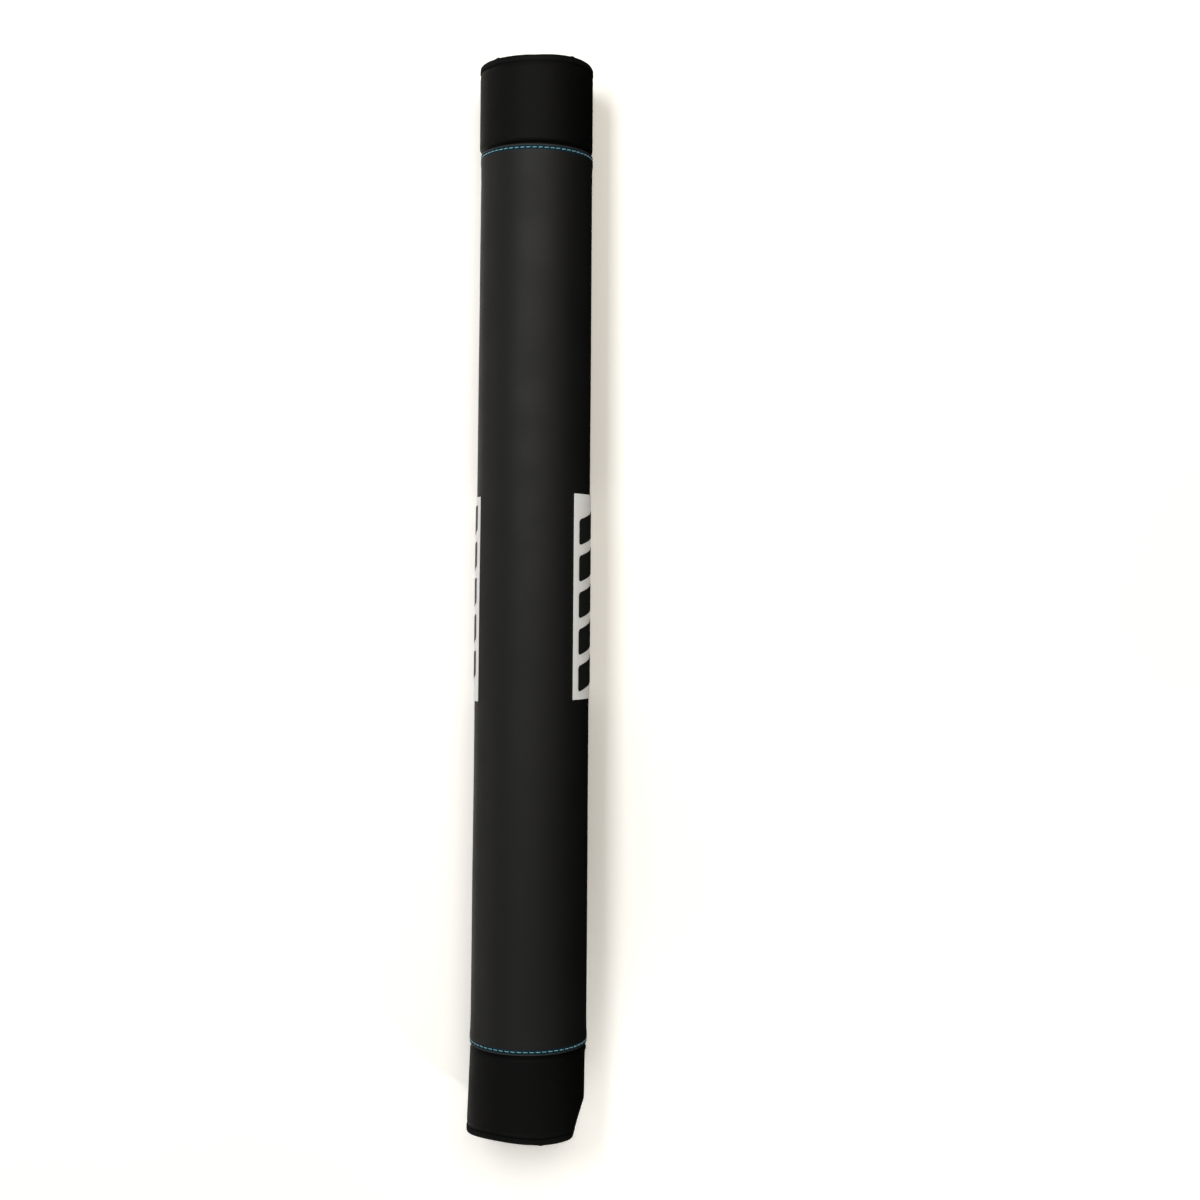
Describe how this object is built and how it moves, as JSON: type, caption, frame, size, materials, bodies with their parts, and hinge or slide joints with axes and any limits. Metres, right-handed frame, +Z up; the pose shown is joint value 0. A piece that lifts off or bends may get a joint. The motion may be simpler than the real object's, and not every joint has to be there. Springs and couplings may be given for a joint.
{
  "type": "roof rack pad",
  "caption": "Soft tubular pad for a car's roof bar: foam tube in a wrapped fabric cover, closed with hook and loop underneath, with a soft cuff at each end.",
  "frame": {"origin": "on the floor under the middle of the pad, which lies on its underside", "axes": "+Y along the pad towards its far cuff, the top of the picture; +X to the picture's right; +Z up"},
  "size_m": [0.0803, 0.7126, 0.0773],
  "materials": {
    "cover_fabric": "smooth matte charcoal coated fabric with a soft sheen",
    "foam": "dark grey closed-cell foam, dry and matte",
    "lining_fabric": "dark plain woven lining",
    "hook_tape": "black nylon hook tape",
    "loop_tape": "black brushed loop tape",
    "cuff_fabric": "black brushed, slightly fuzzy stretch fabric",
    "edge_thread": "black overcast thread",
    "seam_thread": "blue-green sewing thread",
    "label_film": "white heat-pressed film",
    "print_film": "black heat-pressed film"
  },
  "bodies": {
    "root": {"outer_cover": "cover_fabric", "foam_core": "foam", "bore_lining": "lining_fabric", "closure_hook_tape": "hook_tape", "closure_loop_tape": "loop_tape", "near_cuff": "cuff_fabric", "far_cuff": "cuff_fabric", "near_cuff_edge_binding": "edge_thread", "far_cuff_edge_binding": "edge_thread", "near_cuff_hook_tape": "hook_tape", "far_cuff_hook_tape": "hook_tape", "near_seam_stitching": "seam_thread", "far_seam_stitching": "seam_thread", "left_label": "label_film", "right_label": "label_film", "left_label_bar_1": "print_film", "left_label_bar_2": "print_film", "left_label_bar_3": "print_film", "left_label_bar_4": "print_film", "left_label_bar_5": "print_film", "right_label_bar_1": "print_film", "right_label_bar_2": "print_film", "right_label_bar_3": "print_film", "right_label_bar_4": "print_film", "right_label_bar_5": "print_film"}
  },
  "joints": []
}
